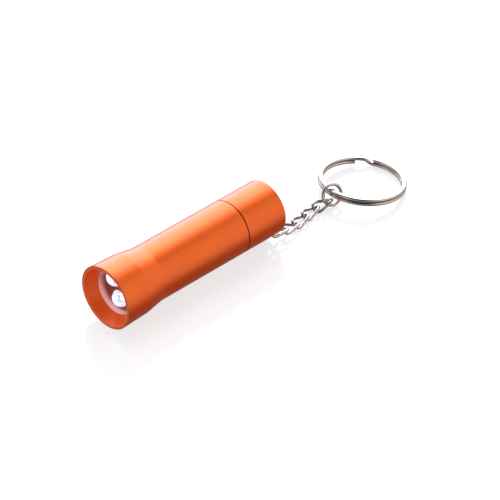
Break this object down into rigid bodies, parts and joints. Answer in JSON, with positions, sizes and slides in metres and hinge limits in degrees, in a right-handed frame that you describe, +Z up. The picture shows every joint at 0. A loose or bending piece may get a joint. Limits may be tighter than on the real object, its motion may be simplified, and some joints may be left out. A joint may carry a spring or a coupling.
{
  "type": "keychain flashlight",
  "caption": "Small round aluminium torch with LEDs in a flared head, a screw-on push-button tail cap, a curb chain and a split key ring.",
  "frame": {"origin": "on the torch's axis at the middle of the plain cylindrical grip", "axes": "+X along the torch's axis, the way the beam leaves; +Z up from the surface that the torch, chain and ring lie on"},
  "size_m": [0.1063, 0.0253, 0.0186],
  "materials": {
    "anodised_orange": "satin bead-blasted anodised aluminium",
    "plated_reflector": "bright vacuum plating",
    "clear_led": "clear moulded epoxy, gloss",
    "tinned_lead": "tinned steel",
    "board_laminate": "white solder mask on glass-epoxy laminate",
    "contact_brass": "bright pressed brass",
    "sleeve_plastic": "natural polypropylene",
    "cell_steel": "nickel-plated steel can",
    "seal_rubber": "black nitrile rubber",
    "plain_aluminium": "plain turned aluminium",
    "switch_plastic": "black moulded nylon",
    "button_rubber": "matt black silicone rubber",
    "spring_steel": "plated spring wire",
    "nickel_plate": "bright nickel plate on steel"
  },
  "bodies": {
    "torch": {"barrel": "anodised_orange", "reflector_cup": "plated_reflector", "led_1": "clear_led", "led_2": "clear_led", "led_3": "clear_led", "led_leads": "tinned_lead", "circuit_board": "board_laminate", "front_contact": "contact_brass", "cell_sleeve": "sleeve_plastic", "button_cell_1": "cell_steel", "button_cell_2": "cell_steel", "button_cell_3": "cell_steel", "button_cell_4": "cell_steel"},
    "cap_seal": {"tail_seal": "seal_rubber"},
    "cap": {"tail_cap": "anodised_orange", "locking_ring": "plain_aluminium", "switch_terminal": "contact_brass", "switch_housing": "switch_plastic", "battery_spring": "spring_steel", "switch_spring": "spring_steel"},
    "button": {"push_button": "button_rubber", "switch_plunger": "switch_plastic"},
    "link_1": {"chain_link_1": "nickel_plate"},
    "link_2": {"chain_link_2": "nickel_plate"},
    "link_3": {"chain_link_3": "nickel_plate"},
    "link_4": {"chain_link_4": "nickel_plate"},
    "link_5": {"chain_link_5": "nickel_plate"},
    "round_link": {"jump_ring": "nickel_plate"},
    "key_ring": {"split_ring": "nickel_plate"}
  },
  "joints": [
    {"name": "cap_travel", "type": "slide", "parent": "torch", "child": "cap_seal", "axis": [-1, 0, 0], "range_m": [0, 0.00401]},
    {"name": "cap_turn", "type": "hinge", "parent": "cap_seal", "child": "cap", "pos_m": [-0.022, 0, 0], "axis": [-1, 0, 0], "range_deg": [0, 1440]},
    {"name": "button_press", "type": "slide", "parent": "cap", "child": "button", "axis": [1, 0, 0], "range_m": [0, 0.0012], "stiffness_N_per_m": 600, "springref_m": -0.002},
    {"name": "chain_swing", "type": "hinge", "parent": "cap", "child": "link_1", "pos_m": [-0.02835, 0.00446, -0.00571], "axis": [0, 0.788, 0.6157], "range_deg": [-50, 15]},
    {"name": "link_2_swing", "type": "hinge", "parent": "link_1", "child": "link_2", "pos_m": [-0.03256, 0.00446, -0.007], "axis": [-0.1462, 0.866, 0.4782], "range_deg": [-32, 25]},
    {"name": "link_3_swing", "type": "hinge", "parent": "link_2", "child": "link_3", "pos_m": [-0.03625, 0.00408, -0.00784], "axis": [-0.1253, 0.6963, -0.7068], "range_deg": [-25, 30]},
    {"name": "link_4_swing", "type": "hinge", "parent": "link_3", "child": "link_4", "pos_m": [-0.04222, 0.00281, -0.00803], "axis": [-0.1845, 0.7773, 0.6015], "range_deg": [-25, 35]},
    {"name": "link_5_swing", "type": "hinge", "parent": "link_4", "child": "link_5", "pos_m": [-0.04596, 0.00206, -0.00817], "axis": [0.0297, 0.7252, -0.6879], "range_deg": [-25, 25]},
    {"name": "round_link_swing", "type": "hinge", "parent": "link_5", "child": "round_link", "pos_m": [-0.05191, 0.00311, -0.00732], "axis": [0.2212, 0.7612, 0.6097], "range_deg": [-40, 0]},
    {"name": "key_ring_flap", "type": "hinge", "parent": "round_link", "child": "key_ring", "pos_m": [-0.05215, 0.00269, -0.00514], "axis": [0.0726, 0.9973, 0.0094], "range_deg": [-45, 90]}
  ],
  "couplings": [
    {"joint": "cap_travel", "follows": "cap_turn", "m_per_rad": 0.00015915}
  ]
}
